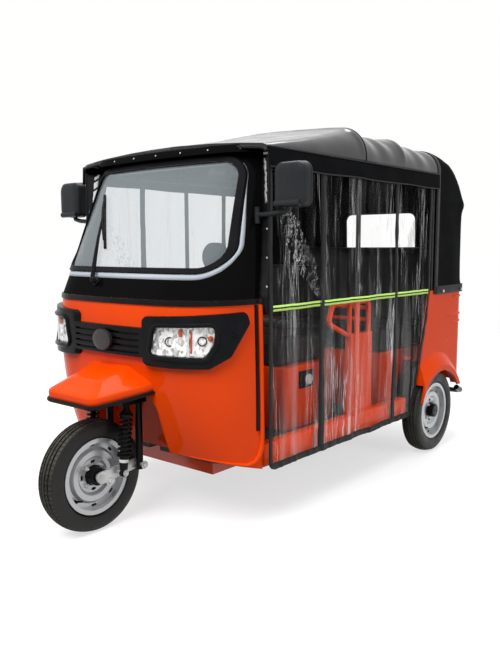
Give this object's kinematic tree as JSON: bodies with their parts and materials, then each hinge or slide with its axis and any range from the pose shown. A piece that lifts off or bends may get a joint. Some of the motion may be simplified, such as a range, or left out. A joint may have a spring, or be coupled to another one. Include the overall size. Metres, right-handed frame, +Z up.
{
  "type": "auto rickshaw",
  "caption": "Three-wheeled passenger vehicle with a rounded front cowl, steered front wheel, driver's seat, rear bench, folding vinyl canopy and clear side curtains.",
  "frame": {"origin": "on the ground at the middle of the vehicle's box", "axes": "+X to the vehicle's left, +Y to its rear, +Z up"},
  "size_m": [1.584, 2.756, 1.8278],
  "materials": {
    "orange_paint": "gloss",
    "black_paint": "gloss",
    "black_plastic": "grained",
    "rubber": "matt",
    "screen_glass": "clear",
    "lamp_lens": "clear",
    "red_lens": "gloss",
    "clear_film": "wrinkled film",
    "vinyl_canopy": "coated",
    "seat_vinyl": "satin",
    "tyre": "matt",
    "steel": "painted silver",
    "fork_black": "satin",
    "engine": "cast"
  },
  "bodies": {
    "chassis": {"front_cowl": "orange_paint", "front_mudguard": "orange_paint", "side_sills": "orange_paint", "rear_side_left": "orange_paint", "rear_side_right": "orange_paint", "back_panel": "orange_paint", "seat_box": "orange_paint", "bench_base": "orange_paint", "partition_frame": "orange_paint", "wheel_well": "orange_paint", "windscreen_frame": "black_paint", "visor": "black_paint", "canopy_frame": "black_paint", "chassis_frame": "black_paint", "steering_head": "black_paint", "steering_upright": "black_paint", "wheel_housings": "black_paint", "rear_axle": "black_paint", "rear_dampers": "black_paint", "lamp_bezel": "black_plastic", "belt_trim": "black_plastic", "wiper": "black_plastic", "mirrors": "black_plastic", "dashboard": "black_plastic", "fuel_filler": "black_plastic", "windscreen_seal": "rubber", "floor_pan": "rubber", "floor_mat": "rubber", "windscreen_glass": "screen_glass", "headlamps": "lamp_lens", "tail_lamps": "red_lens", "curtain_left": "clear_film", "curtain_right": "clear_film", "rear_window": "clear_film", "canopy_roof": "vinyl_canopy", "canopy_rear": "vinyl_canopy", "driver_cushion": "seat_vinyl", "driver_backrest": "seat_vinyl", "bench_cushion": "seat_vinyl", "bench_backrest": "seat_vinyl", "engine_block": "engine"},
    "steering": {"fork": "fork_black", "front_links": "steel", "front_dampers": "fork_black", "handlebar": "fork_black"},
    "front_wheel": {"front_tyre": "tyre", "front_rim": "steel"},
    "rear_wheel_left": {"rear_left_tyre": "tyre", "rear_left_rim": "steel"},
    "rear_wheel_right": {"rear_right_tyre": "tyre", "rear_right_rim": "steel"},
    "lid": {"engine_lid": "orange_paint"}
  },
  "joints": [
    {"name": "steer", "type": "hinge", "parent": "chassis", "child": "steering", "pos_m": [0, -0.975, 0.5], "axis": [0, 0.3746, 0.9272], "range_deg": [-40, 40]},
    {"name": "front_spin", "type": "hinge", "parent": "steering", "child": "front_wheel", "pos_m": [0, -1.135, 0.243], "axis": [1, 0, 0], "continuous": true},
    {"name": "rear_spin_left", "type": "hinge", "parent": "chassis", "child": "rear_wheel_left", "pos_m": [0.595, 0.885, 0.243], "axis": [1, 0, 0], "continuous": true},
    {"name": "rear_spin_right", "type": "hinge", "parent": "chassis", "child": "rear_wheel_right", "pos_m": [-0.595, 0.885, 0.243], "axis": [1, 0, 0], "continuous": true},
    {"name": "lid_hinge", "type": "hinge", "parent": "chassis", "child": "lid", "pos_m": [0, 1.351, 0.806], "axis": [1, 0, 0], "range_deg": [0, 80]}
  ]
}
